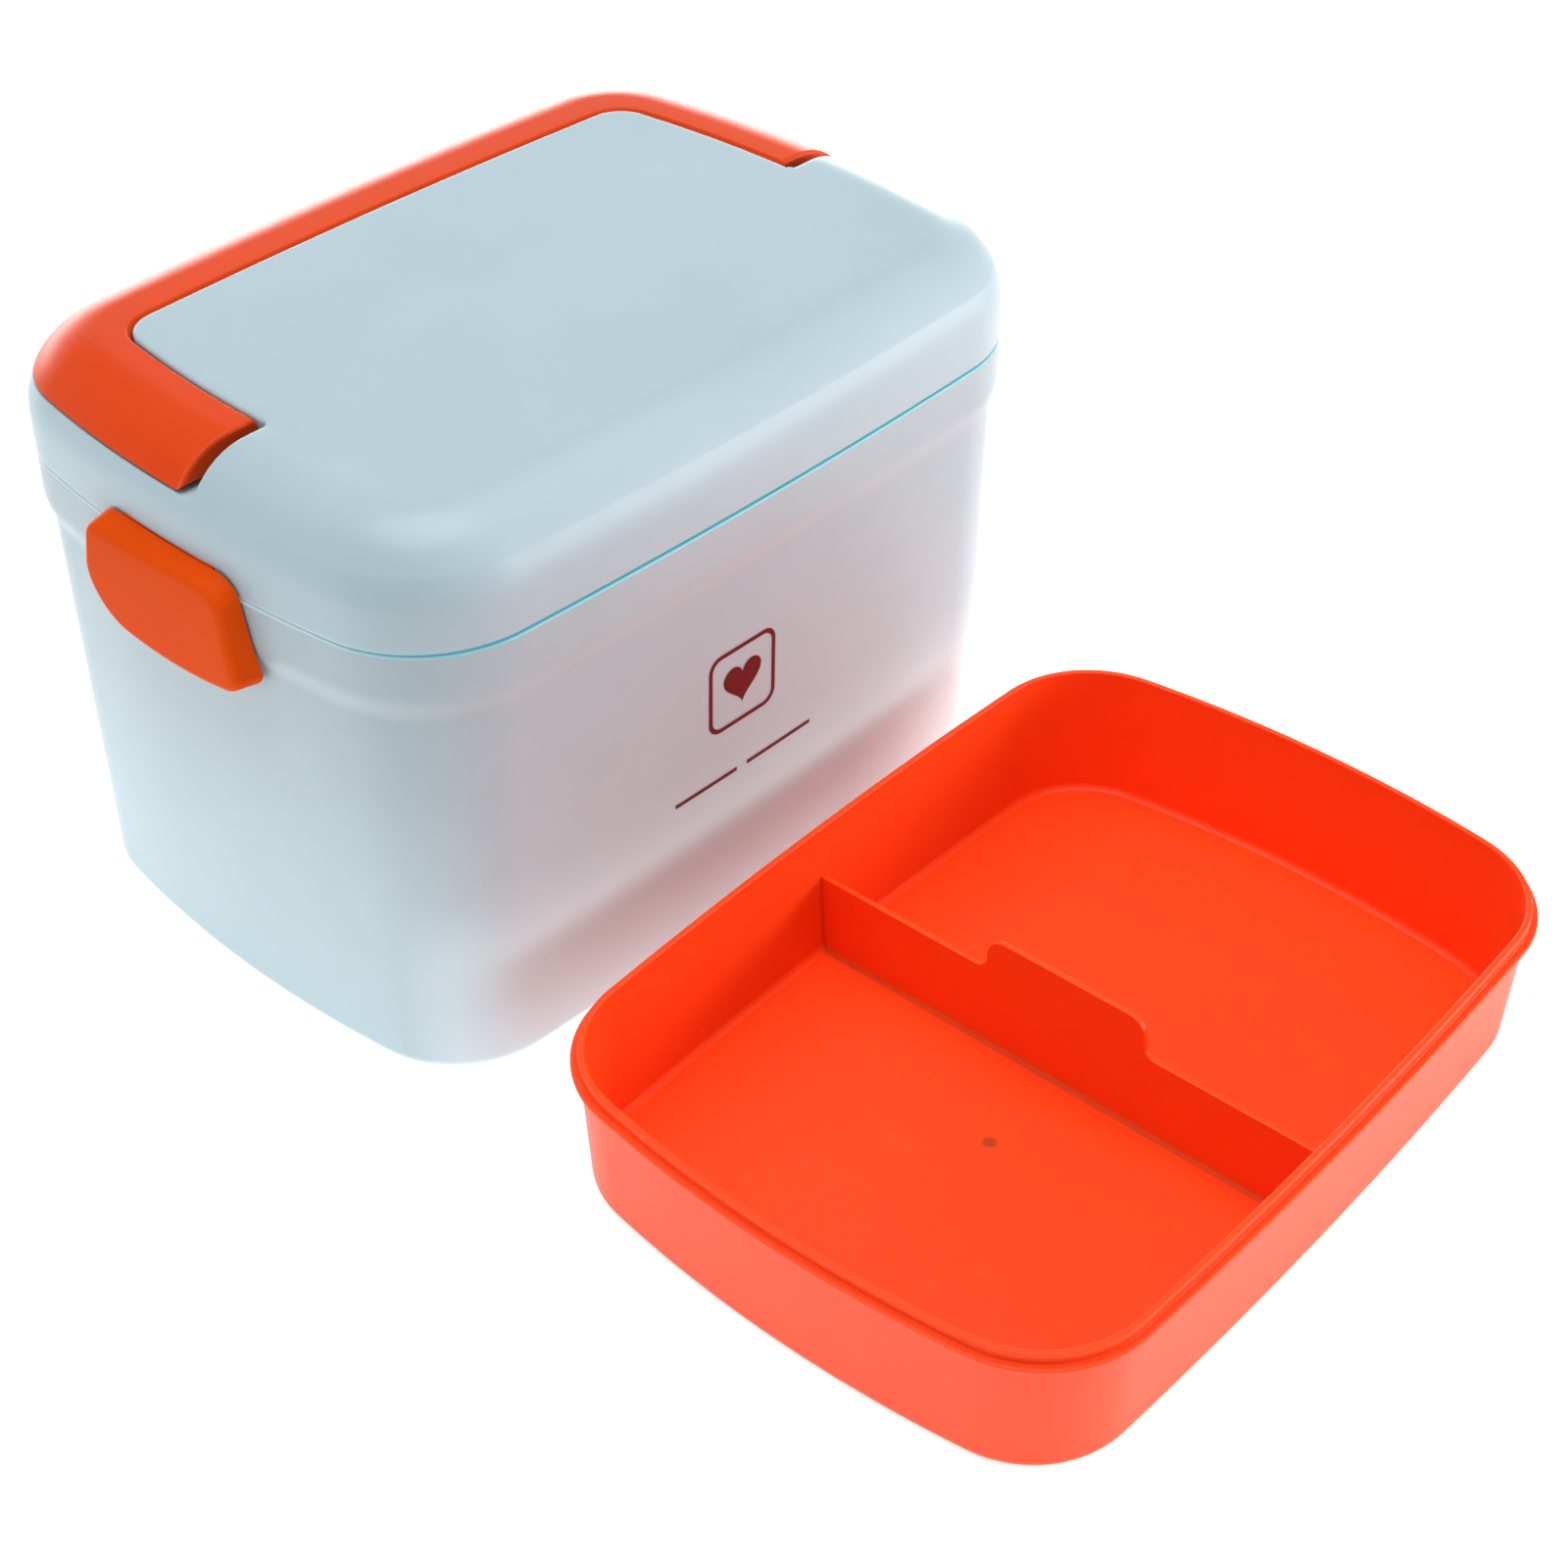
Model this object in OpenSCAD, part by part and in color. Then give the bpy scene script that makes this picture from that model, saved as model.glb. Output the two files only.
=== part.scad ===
/* [Part] */
// which sub-part to draw

/* [Plan outline] */
// length of the box at the seam, mm
box_length = 250; // [220:1:280]
// depth of the box at the seam, mm
box_depth = 181; // [160:1:200]
// corner radius of the seam outline
corner_r = 37; // [30:1:42]
// bow radius of the two short ends
end_bow_r = 380; // [300:10:600]
// bow radius of the two long faces
face_bow_r = 1800; // [1400:50:2600]

/* [Tub] */
// height of the seam between tub and lid
seam_h = 142; // [120:1:160]
// height of the proud band under the seam
collar_h = 14; // [10:0.5:18]
// height of the slope under the band
collar_slope_h = 6; // [4:0.5:8]
// how far the band stands proud of the wall
collar_out = 2; // [1.6:0.1:2.6]
// wall thickness of the tub
tub_wall = 2; // [1.6:0.1:2.6]
// inward lean of the wall, mm per mm of height
tub_draft = 0.018; // [0.005:0.001:0.03]
// floor thickness of the tub
tub_floor = 2.2; // [1.8:0.1:3]
// outside rounding of the bottom edge
tub_foot_r = 4; // [3:0.5:8]

/* [Lid] */
// overall height of the closed box
top_h = 173.5; // [166:0.5:184]
// radius of the lid's rounded shoulder
shoulder_r = 20.5; // [18:0.5:24]
// wall thickness of the lid
lid_wall = 2.2; // [1.8:0.1:2.6]
// height of the locating lip inside the tub rim
lip_h = 3; // [2:0.5:4]

/* [Handle] */
// distance of the handle's inner edge from the end outline
handle_side_in = 28.2; // [26:0.1:31]
// distance of the handle's inner edge from the rear outline
handle_rear_in = 30.4; // [28:0.1:33]
// corner radius of the panel inside the handle
panel_r = 11; // [8:0.5:14]
// depth of the handle band, from the top of the lid to its underside
handle_depth = 10.5; // [9.5:0.1:11.5]
// bevel along the inner edge and the arm ends
handle_bevel = 2.3; // [1.5:0.1:3]
// wall thickness of the hollow handle
handle_wall = 2.4; // [2:0.1:3]
// where the arms end, measured from mid-depth
arm_end_y = -5.3; // [-6:0.1:-4.5]
// where the channel ends, measured from mid-depth
channel_end_y = -9.2; // [-10:0.1:-8.5]
// pivot position from mid-depth
pivot_y = -1; // [-1.5:0.1:-0.5]
// depth of the pivot axis under the top of the lid
pivot_drop = 5.5; // [5:0.1:6]
// pivot pin radius
pivot_pin_r = 2; // [1.5:0.1:2.2]
// number of stiffening ribs under the rear bar
rib_count = 9; // [5:2:13]

/* [Latches] */
// latch position from mid-depth, toward the front is negative
latch_y = 0; // [-2:0.5:1]
// half width of the latch where it meets the box
latch_half_w = 28.5; // [27:0.5:31]
// half width of the latch's outer face
latch_face_half_w = 27.5; // [25:0.5:29]
// how much wider the latch's face is at its lower corners, on each side
latch_flare = 2.4; // [0:0.2:4]
// how much wider the latch is at its lower corners where it meets the box, on each side
latch_base_flare = 4; // [2:0.2:5]
// how far the latch reaches below the seam
latch_reach = 28.5; // [25:0.5:30]
// drop of the sloping top of the latch
latch_top_slope = 3; // [1.2:0.1:4]
// how far the latch stands out from the end of the box
latch_out = 6.6; // [6.4:0.1:8]
// radius of the latch's lower corner on the rear side
latch_corner_r = 17; // [12:0.5:18]
// radius of the latch's lower corner on the front side
latch_front_r = 6; // [5:0.5:10]
// radius of the latch's upper corners
latch_top_r = 6; // [4:0.5:6.5]
// wall thickness of the latch
latch_wall = 1.8; // [1.5:0.1:2]
// radius of the hinge bead along the latch's top edge
latch_bead_r = 1.9; // [1.8:0.05:2]
// height of the hinge bead's axis above the seam
latch_axis_rise = 5.4; // [5:0.1:5.8]
// depth of the hinge bead's axis inside the end of the lid
latch_axis_in = 1; // [0.8:0.1:1.1]
// half length of the hinge bead
latch_bead_half = 23; // [20:0.5:23.5]

/* [Tray] */
// height of the tray
tray_h = 44; // [40:1:46]
// step in from the seam outline to the tray's rim
tray_rim_in = 4.3; // [4.3:0.1:5]
// step in from the seam outline to the tray's flange
tray_flange_in = 2.4; // [2.4:0.1:3]
// drop from the rim to the top of the flange
tray_flange_drop = 3.3; // [2:0.1:4]
// thickness of the flange
tray_flange_t = 1.5; // [1:0.1:2]
// wall thickness of the tray
tray_wall = 1.8; // [1.5:0.1:2.2]
// floor thickness of the tray
tray_floor = 2; // [1.6:0.1:2.6]
// inward lean of the tray wall, mm per mm of height
tray_draft = 0.055; // [0.03:0.005:0.08]
// outside rounding of the tray's bottom edge
tray_foot_r = 4; // [3:0.5:7]
// thickness of the divider
divider_t = 1.8; // [1.5:0.1:2.4]
// how far the divider's long edge lies below the tray's rim
divider_drop = 16.5; // [14:0.5:20]
// how far the divider's raised middle lies below the tray's rim
divider_tab_drop = 5; // [4:0.2:6]
// half length of the divider's raised middle
divider_tab_half = 25.5; // [20:0.5:30]
// tray centre along the box length
tray_x = -0.5; // [-20:0.5:20]
// gap between the box and the tray that stands in front of it
tray_gap = 18.9; // [14:0.1:50]
// angle by which the tray stands askew, degrees
tray_turn = 1.9; // [-3:0.1:3]

/* [Hidden] */
half_l = box_length / 2;
half_d = box_depth / 2;
// gap at the seam, beside the folded handle, and round a turning pin or bead
seam_gap = 0.3;
side_gap = 0.6;
run_gap = 0.06;
rim_h = seam_h - seam_gap / 2;
lid_low_h = seam_h + seam_gap / 2;
handle_under_h = top_h - handle_depth;
pivot_h = top_h - pivot_drop;
panel_half_l = half_l - handle_side_in;
panel_half_d = half_d - handle_rear_in;
channel_floor_h = handle_under_h - 0.7;
shoulder_h = top_h - shoulder_r;
collar_low_h = rim_h - collar_h;
slope_low_h = collar_low_h - collar_slope_h;
latch_low_h = seam_h - latch_reach;
latch_axis_h = seam_h + latch_axis_rise;
latch_top_h = latch_axis_h + 0.76;
// gap between the latch and the end of the box
latch_gap = 0.4;
// bar on the tub that the latch closes over: reach, height and half length
catch_out = 1.2;
catch_low_h = seam_h - 18;
catch_t = 3.4;
catch_half = 14;
divider_h = tray_h - divider_drop;
divider_tab_h = tray_h - divider_tab_drop;
tray_y = tray_flange_in - box_depth - tray_gap;
// outlines as [half length, half depth, corner radius, end bow, face bow]
seam_line = [half_l, half_d, corner_r, end_bow_r, face_bow_r];
panel_line = [panel_half_l, panel_half_d, panel_r, end_bow_r - handle_side_in,
              face_bow_r - handle_rear_in];
// profiles reach in this far from the seam outline
deep = corner_r - 1;
// growth of the corner arcs on the tub and lid, on the handle and on the tray
corner_grow = 0.15;
handle_grow = -0.15;
tray_grow = -0.12;
// steps on the turned sectors
corner_fn = 48;
end_fn = 120;
face_fn = 252;
arc_fn = 40;
tub_blue = [0.74, 0.85, 0.88];
lid_blue = [0.77, 0.86, 0.90];
bright_orange = [0.93, 0.31, 0.12];

// where a corner arc that runs smoothly into both bows has its centre
function meet(o) =
    let (y1 = o[1] - o[4], d1 = o[4] - o[2],
         x2 = o[0] - o[3], d2 = o[3] - o[2],
         d = norm([x2, -y1]), k = (d1 * d1 - d2 * d2 + d * d) / (2 * d),
         h = sqrt(max(d1 * d1 - k * k, 0)),
         px = k * x2 / d, py = y1 - k * y1 / d,
         p = [px + h * y1 / d, py + h * x2 / d],
         q = [px - h * y1 / d, py - h * x2 / d])
    p[0] + p[1] > q[0] + q[1] ? p : q;

function end_angle(o) = let (c = meet(o)) atan2(c[1], c[0] - o[0] + o[3]);
function face_angle(o) = let (c = meet(o)) atan2(c[0], c[1] - o[1] + o[4]);

// a solid whose wall profile follows the outline: two end bows, two face bows and four corners,
// each turned about its own centre, round a plain core. The child is the profile: x runs outward
// from the outline, y is height, and it reaches in to 1 mm short of the corner's centre. Corners
// grown by a touch run into the bows at a clean crossing; they run on under the bows past it.
module swept(o, z0, z1, grow = corner_grow) {
    c = meet(o);
    te = end_angle(o);
    tf = face_angle(o);
    lap = 9;
    under = 4 + 60 * sqrt(2 * max(grow, 0) / o[2]);
    turn = 90 - te - tf + 2 * under;
    for (half = [0, 180]) rotate(half) {
        translate([o[0] - o[3], 0])
            rotate_extrude(angle = 2 * te, start = -te, $fn = end_fn) {
                translate([o[3], 0]) children();
                translate([o[3] - o[2] - lap, z0]) square([lap + 2, z1 - z0]);
            }
        translate([0, o[1] - o[4]])
            rotate_extrude(angle = 2 * tf, start = 90 - tf, $fn = face_fn) {
                translate([o[4], 0]) children();
                translate([o[4] - o[2] - lap, z0]) square([lap + 2, z1 - z0]);
            }
        translate([c[0], c[1]])
            rotate_extrude(angle = turn, start = te - under, $fn = corner_fn)
                translate([o[2] + grow, 0]) children();
        translate([-c[0], c[1]])
            rotate_extrude(angle = turn, start = 90 + tf - under, $fn = corner_fn)
                translate([o[2] + grow, 0]) children();
    }
    translate([-c[0] - 4, -c[1] - 4, z0]) cube([2 * c[0] + 8, 2 * c[1] + 8, z1 - z0]);
}

// upright prism on an outline grown outward by d
module block(o, d, z0, z1, grow = corner_grow) {
    swept(o, z0, z1, grow) translate([1 - o[2], z0]) square([o[2] - 1 + d, z1 - z0]);
}

// copies the child to the other end of the box
module both_ends() {
    children();
    mirror([1, 0, 0]) children();
}

// profile of the lid form, set in by d, from height z0 up
module dome_profile(d, z0) {
    low = max(z0, shoulder_h);
    translate([-deep, z0]) square([deep - shoulder_r, top_h - d - z0]);
    if (z0 < shoulder_h) translate([-deep, z0]) square([deep - d, shoulder_h - z0]);
    intersection() {
        translate([-shoulder_r, shoulder_h]) circle(shoulder_r - d, $fn = arc_fn);
        translate([-shoulder_r - 1, low]) square([shoulder_r + 2, top_h - low]);
    }
}

module dome(d, z0, grow = corner_grow) {
    swept(seam_line, z0, top_h - d, grow) dome_profile(d, z0);
}

// upright wall profile with a rounded foot: foot at height z0, set in by the given steps
module footed_profile(z0, foot_in, r, points) {
    polygon(concat([[-deep, z0], [-foot_in - r, z0], [-foot_in - r, z0 + r], [-foot_in, z0 + r]],
                   points));
    translate([-foot_in - r, z0 + r]) circle(r, $fn = arc_fn);
}

// how far the tub's outer wall stands in from the seam outline at height z
function tub_in(z) = collar_out + tub_draft * (slope_low_h - z);

module tub_profile() {
    footed_profile(0, tub_in(tub_foot_r), tub_foot_r,
        [[-collar_out, slope_low_h], [0, collar_low_h], [0, rim_h], [-deep, rim_h]]);
}

module tub_space_profile() {
    r = tub_foot_r - tub_wall;
    step = 1.5;
    footed_profile(tub_floor, tub_in(tub_foot_r) + tub_wall, r,
        [[-collar_out - tub_wall, slope_low_h - step], [-tub_wall, collar_low_h - step],
         [-tub_wall, rim_h + 1], [-deep, rim_h + 1]]);
}

module catch_bar() {
    translate([-half_l - catch_out, latch_y - catch_half, catch_low_h])
        cube([catch_out + 2, 2 * catch_half, catch_t]);
}

module tub() {
    color(tub_blue) difference() {
        union() {
            swept(seam_line, 0, rim_h) tub_profile();
            both_ends() catch_bar();
        }
        swept(seam_line, tub_floor, rim_h + 1) tub_space_profile();
    }
}

// everything above the channel floor and outside the panel, behind the channel's front end
module channel_space() {
    difference() {
        translate([-half_l - 5, channel_end_y, channel_floor_h])
            cube([box_length + 10, half_d - channel_end_y + 5, 30]);
        block(panel_line, 0, channel_floor_h - 1, top_h + 1);
    }
}

// the lid's hollow: full width below the channel, narrowed beside and behind it
module lid_space() {
    low = channel_floor_h - lid_wall;
    difference() {
        dome(lid_wall, lid_low_h - 5);
        difference() {
            translate([-half_l - 5, channel_end_y - lid_wall, low])
                cube([box_length + 10, half_d - channel_end_y + 10, 30]);
            block(panel_line, -lid_wall, low - 1, top_h);
        }
    }
}

// lip that drops inside the tub's rim, on a root that joins it to the skirt
module lid_lip() {
    root_h = lid_low_h + 3;
    lip_out = tub_wall + 0.4;
    lip_t = 1.4;
    difference() {
        swept(seam_line, lid_low_h - lip_h, root_h) {
            translate([-deep, lid_low_h - lip_h]) square([deep - lip_out, root_h - lid_low_h + lip_h]);
            translate([-deep, lid_low_h]) square([deep - lip_out + 1, root_h - lid_low_h]);
        }
        block(seam_line, -lip_out - lip_t, lid_low_h - lip_h - 1, root_h + 1);
    }
}

// ear for a handle pin, behind the panel's side wall
module pivot_ear() {
    ear_t = 4;
    translate([-panel_half_l + 1, pivot_y - 5.5, channel_floor_h - 1])
        cube([lid_wall + ear_t - 1, 11, top_h - channel_floor_h]);
}

// thickening inside the skirt that carries the latch's hinge groove
module groove_pad() {
    translate([-half_l + 1.4, latch_y - latch_bead_half - 3, lid_low_h])
        cube([3.2, 2 * latch_bead_half + 6, 10]);
}

module latch_hinge(r, half) {
    translate([-half_l + latch_axis_in, latch_y - half, latch_axis_h])
        rotate([-90, 0, 0]) cylinder(h = 2 * half, r = r, $fn = 40);
}

// round bar along x on the handle's pivot axis
module pivot_bar(r, from_x, to_x, steps = 32) {
    translate([from_x, pivot_y, pivot_h])
        rotate([0, 90, 0]) cylinder(h = to_x - from_x, r = r, $fn = steps);
}

module lid() {
    color(lid_blue) difference() {
        union() {
            difference() {
                dome(0, lid_low_h);
                channel_space();
                lid_space();
            }
            lid_lip();
            both_ends() {
                pivot_ear();
                groove_pad();
            }
        }
        both_ends() {
            latch_hinge(latch_bead_r + run_gap, latch_bead_half + 0.5);
            pivot_bar(pivot_pin_r + run_gap, -panel_half_l - 2, -panel_half_l + 5);
        }
    }
}

// stiffening ribs that stay in the handle's hollow
module handle_ribs() {
    rib_t = 1.6;
    low = handle_under_h - 2;
    tall = handle_depth + 2;
    span = 2 * panel_half_l / (rib_count + 1);
    for (k = [1 : rib_count])
        translate([-panel_half_l + k * span - rib_t / 2, panel_half_d, low])
            cube([rib_t, handle_rear_in, tall]);
    for (k = [0.4, 0.7])
        translate([-half_l, k * panel_half_d, low]) cube([box_length, rib_t, tall]);
}

module handle_hollow() {
    solid_to = 8;
    low = handle_under_h - 1;
    difference() {
        dome(handle_wall, low, handle_grow);
        translate([-half_l, solid_to - half_d - 10, low - 1]) cube([box_length, half_d + 10, 20]);
        block(panel_line, side_gap + handle_wall, low - 1, top_h, handle_grow);
        handle_ribs();
    }
}

// cuts the bevel round the end of an arm: a cone round the shoulder and a slope on the flat
module arm_end_cut() {
    over = 1;
    cone_x = -half_l + shoulder_r;
    y0 = arm_end_y - over;
    y1 = arm_end_y + handle_bevel + over;
    difference() {
        translate([-half_l - 1, y0, handle_under_h - 1])
            cube([handle_side_in + 4, y1 - y0 - over, 14]);
        translate([cone_x, y0, shoulder_h]) rotate([-90, 0, 0])
            cylinder(h = y1 - y0, r1 = shoulder_r - handle_bevel - over, r2 = shoulder_r + over,
                     $fn = 96);
        translate([cone_x, 0, 0]) rotate([90, 0, 90]) linear_extrude(handle_side_in)
            polygon([[y0, shoulder_h], [y1, shoulder_h], [y1, top_h + over],
                     [y0, top_h - handle_bevel - over]]);
    }
}

// rounds off the toe of an arm so that it clears the channel floor when the handle is raised
module arm_toe_cut() {
    toe_r = pivot_h - channel_floor_h - seam_gap;
    difference() {
        translate([-half_l - 1, arm_end_y - 1, handle_under_h - 1])
            cube([handle_side_in + 4, pivot_y - arm_end_y + 1, pivot_h - handle_under_h + 1]);
        pivot_bar(toe_r, -half_l - 2, -panel_half_l + 4, 96);
    }
}

module handle() {
    rise = 1;
    bevel_h = top_h - handle_bevel;
    color(bright_orange) difference() {
        dome(0, handle_under_h, handle_grow);
        translate([-half_l - 1, -half_d - 1, handle_under_h - 1])
            cube([box_length + 2, half_d + 1 + arm_end_y, 20]);
        swept(panel_line, handle_under_h - 1, top_h + rise, handle_grow) polygon([
            [1 - panel_r, handle_under_h - 1], [side_gap, handle_under_h - 1], [side_gap, bevel_h],
            [side_gap + handle_bevel + rise, top_h + rise], [1 - panel_r, top_h + rise]]);
        handle_hollow();
        both_ends() {
            arm_end_cut();
            arm_toe_cut();
            pivot_bar(pivot_pin_r, -half_l + 18, -panel_half_l);
        }
    }
}

module handle_pin_left() {
    color(bright_orange) pivot_bar(pivot_pin_r, -half_l + 18, -panel_half_l + 4.6);
}

module handle_pin_right() {
    mirror([1, 0, 0]) handle_pin_left();
}

// one slice of the latch's form: half width w at the top, wider below by flare, all sizes taken
// in by inset, with a large lower corner to the rear and a small one to the front
module latch_slice(x, w, flare, z0, z1, inset) {
    r_top = latch_top_r - inset;
    for (s = [-1, 1]) {
        r_low = (s > 0 ? latch_corner_r : latch_front_r) - inset;
        translate([x, latch_y + s * (w + flare - r_low), z0 + r_low])
            rotate([0, 90, 0]) cylinder(h = 0.2, r = r_low, $fn = 32);
        translate([x, latch_y + s * (w - r_top), z1 - r_top])
            rotate([0, 90, 0]) cylinder(h = 0.2, r = r_top, $fn = 32);
    }
}

module latch_left() {
    base_x = -half_l - latch_gap - 0.2;
    face_x = -half_l - latch_out;
    face_top = latch_top_h - latch_top_slope;
    rib_low = catch_low_h - 3;
    color(bright_orange) {
        difference() {
            hull() {
                latch_slice(base_x, latch_half_w, latch_base_flare, latch_low_h, latch_top_h, 0);
                latch_slice(face_x, latch_face_half_w, latch_flare, latch_low_h + 0.6, face_top, 0.5);
            }
            hull() {
                latch_slice(base_x + 1, latch_half_w - latch_wall, latch_base_flare,
                            latch_low_h + latch_wall, latch_top_h - latch_wall + 0.3, latch_wall);
                latch_slice(face_x + latch_wall, latch_face_half_w - latch_wall + 0.3, latch_flare,
                            latch_low_h + latch_wall + 0.4, face_top - latch_wall + 0.6,
                            latch_wall + 0.5);
            }
            // finger notch under the lower edge
            translate([-half_l - 3.5, latch_y - catch_half - 1, latch_low_h - 1])
                cube([4, 2 * catch_half + 2, 4]);
        }
        latch_hinge(latch_bead_r, latch_bead_half);
        translate([base_x - 0.2, latch_y - latch_bead_half, latch_top_h - latch_wall])
            cube([latch_axis_in - half_l - base_x + 0.2, 2 * latch_bead_half, latch_wall]);
        translate([face_x + 1, latch_y - catch_half + 1, rib_low])
            cube([latch_out - catch_out - 0.3 - 1, 2 * catch_half - 2, catch_low_h - 0.3 - rib_low]);
    }
}

module latch_right() {
    mirror([1, 0, 0]) latch_left();
}

// how far the tray's outer wall stands in from the seam outline at height z
function tray_in(z) = tray_rim_in + tray_draft * (tray_h - z);

module tray_profile() {
    flange_top = tray_h - tray_flange_drop;
    flange_low = flange_top - tray_flange_t;
    footed_profile(0, tray_in(tray_foot_r), tray_foot_r,
        [[-tray_in(flange_low), flange_low], [-tray_flange_in, flange_low],
         [-tray_flange_in, flange_top], [-tray_in(flange_top), flange_top],
         [-tray_rim_in, tray_h], [-deep, tray_h]]);
}

module tray_space_profile() {
    r = tray_foot_r - tray_wall;
    footed_profile(tray_floor, tray_in(tray_floor + r) + tray_wall, r,
        [[-tray_in(tray_h + 1) - tray_wall, tray_h + 1], [-deep, tray_h + 1]]);
}

// side view of the divider: a low wall with a raised, round-shouldered middle
module divider_shape() {
    r = 6;
    foot = 4;
    z0 = tray_floor - 1;
    base = half_d - tray_in(z0) - tray_wall / 2;
    top = half_d - tray_in(divider_h) - tray_wall / 2;
    polygon([[-base, z0], [base, z0], [top, divider_h], [-top, divider_h]]);
    translate([-divider_tab_half, z0])
        square([2 * divider_tab_half, divider_tab_h - r - z0]);
    translate([-divider_tab_half + r, z0])
        square([2 * (divider_tab_half - r), divider_tab_h - z0]);
    for (s = [-1, 1]) {
        translate([s * (divider_tab_half - r), divider_tab_h - r]) circle(r, $fn = arc_fn);
        difference() {
            translate([s * (divider_tab_half + foot / 2) - foot / 2 - 0.5 + s * -0.5, divider_h - 1])
                square([foot + 1, foot + 1]);
            translate([s * (divider_tab_half + foot), divider_h + foot]) circle(foot, $fn = arc_fn);
        }
    }
}

module tray() {
    color(bright_orange) translate([tray_x, tray_y, 0]) rotate(tray_turn) {
        difference() {
            swept(seam_line, 0, tray_h, tray_grow) tray_profile();
            swept(seam_line, tray_floor, tray_h + 1, tray_grow) tray_space_profile();
            // moulding gate mark in the floor
            translate([-31, 0, tray_floor - 0.3]) cylinder(h = 1, r = 1.6, $fn = 32);
        }
        translate([-divider_t / 2, 0, 0]) rotate([90, 0, 90]) linear_extrude(divider_t) divider_shape();
    }
}

tub();
lid();
handle();
handle_pin_left();
handle_pin_right();
latch_left();
latch_right();
tray();
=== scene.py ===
"""Medicine box: frosted blue tub and lid, orange handle, latches and a divided insert tray."""
import math

import bpy
import bmesh
from mathutils import Matrix, Vector


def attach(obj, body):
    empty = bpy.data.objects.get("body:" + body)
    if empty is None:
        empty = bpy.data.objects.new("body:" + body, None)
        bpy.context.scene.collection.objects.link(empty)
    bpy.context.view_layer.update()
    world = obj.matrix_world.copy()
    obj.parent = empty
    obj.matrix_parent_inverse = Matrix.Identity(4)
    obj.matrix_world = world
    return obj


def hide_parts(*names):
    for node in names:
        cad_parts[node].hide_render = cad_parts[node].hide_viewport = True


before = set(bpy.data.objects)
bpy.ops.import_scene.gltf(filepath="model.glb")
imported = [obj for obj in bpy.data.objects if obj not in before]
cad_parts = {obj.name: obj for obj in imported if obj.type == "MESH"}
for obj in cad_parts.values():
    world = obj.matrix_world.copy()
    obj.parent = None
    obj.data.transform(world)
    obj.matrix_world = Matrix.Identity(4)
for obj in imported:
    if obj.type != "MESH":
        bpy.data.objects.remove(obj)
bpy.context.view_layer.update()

# Sizes in mm. They follow the part source, where bead, groove and the handle's side gap are
# larger and the small roundings are left out.
HALF_X, HALF_Y, END_BOW, LONG_BOW = 125.0, 90.5, 380.0, 1800.0
SIDE_IN, REAR_IN = 28.2, 30.4
# outlines: half length, half depth, corner radius, bow of the ends, bow of the long sides
SEAM = (HALF_X, HALF_Y, 37.0, END_BOW, LONG_BOW)
PANEL = (HALF_X - SIDE_IN, HALF_Y - REAR_IN, 11.0, END_BOW - SIDE_IN, LONG_BOW - REAR_IN)
FLAT_IN = 34.0  # one flat face closes floors and top from this step in
RIM_H, LID_LOW_H, TOP_H = 141.85, 142.15, 173.5
SHOULDER_R = 20.5
SHOULDER_H = TOP_H - SHOULDER_R
COLLAR_LOW_H, SLOPE_LOW_H = 127.85, 121.85
COLLAR_STEP, TUB_DRAFT, TUB_WALL, TUB_FLOOR = 2.0, 0.018, 2.0, 2.2
BAR_X, BAR_H, BAR_HALF = (-126.2, -123.2), (124.0, 127.4), 14.0
CHANNEL_H, UNDER_H = 162.3, 163.0
CHANNEL_Y, ARM_Y = -9.2, -5.3
LID_WALL, HINGE_PAD = 2.2, 2.4
EDGE_R, NOTCH_R, FOOT_R = 1.2, 1.0, 0.9
SHOULDER_FADE, EDGE_FADE, NOTCH_FADE = 8.0, 1.4, 14.0  # lengths over which these roundings end
SKIRT_LOW_H, LIP_LOW_H, LIP_IN, LIP_BACK_IN = 145.0, 139.15, 2.4, 3.8
PAD_LOW_H, PAD_TOP_H, CEILING_IN = 145.3, 151.9, 26.0
GROOVE_H, GROOVE_IN, GROOVE_R, GROOVE_HALF = 147.4, 1.0, 1.1, 18.5
BEVEL, SIDE_GAP, HANDLE_WALL, SOLID_IN = 1.6, 0.4, 2.4, 19.0
PIVOT_Y, PIVOT_H, TOE_GAP = -1.0, 168.0, 0.3
RIB_HALF, RIB_IN, BAR_FIELDS, ARM_RIBS = 0.8, 2.2, 10, (24.8, 42.8)
TRAY_H, TRAY_RIM_IN, TRAY_FLANGE_IN, TRAY_DRAFT = 44.0, 4.3, 2.4, 0.055
TRAY_WALL, TRAY_FLOOR, FLANGE_DROP, FLANGE_T = 1.8, 2.0, 3.3, 1.5
TRAY_POS, TRAY_TURN = (-0.5, -197.5), 1.9
DIVIDER_HALF, DIVIDER_H, DIVIDER_T, DIVIDER_SOFT = 84.0, 27.5, 0.9, 0.45
TAB_HALF, TAB_H = 25.5, 39.0
GATE_X = -31

LATCH_Y = 0.0
LATCH_FACE_X, LATCH_TOP, LATCH_LOW = -131.6, 147.95, 113.5
LATCH_BACK_X, LATCH_ROOT_X = -125.6, -125.4  # back edge, and where the latch's depth counts from
COLLAR_REACH, REACH_TOP_H, REACH_FADE = 0.7, 131.0, 14.0  # its back edge under the collar
LATCH_BASE_HALF, LATCH_FACE_HALF = 27.8, 27.0
LATCH_BASE_FLARE, LATCH_FACE_FLARE = 4.2, 2.6
LATCH_SLOPE, LATCH_TILT, LATCH_BOW = 4.0, 0.055, 260.0
LATCH_REAR_R, LATCH_FRONT_R, LATCH_EDGE_R, LATCH_WALL = 15.5, 4.6, 2.2, 1.8
LATCH_REAR_TOP_R, LATCH_FRONT_TOP_R = (7.5, 3.0), 8.0  # the rear one at the box and at the face
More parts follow.
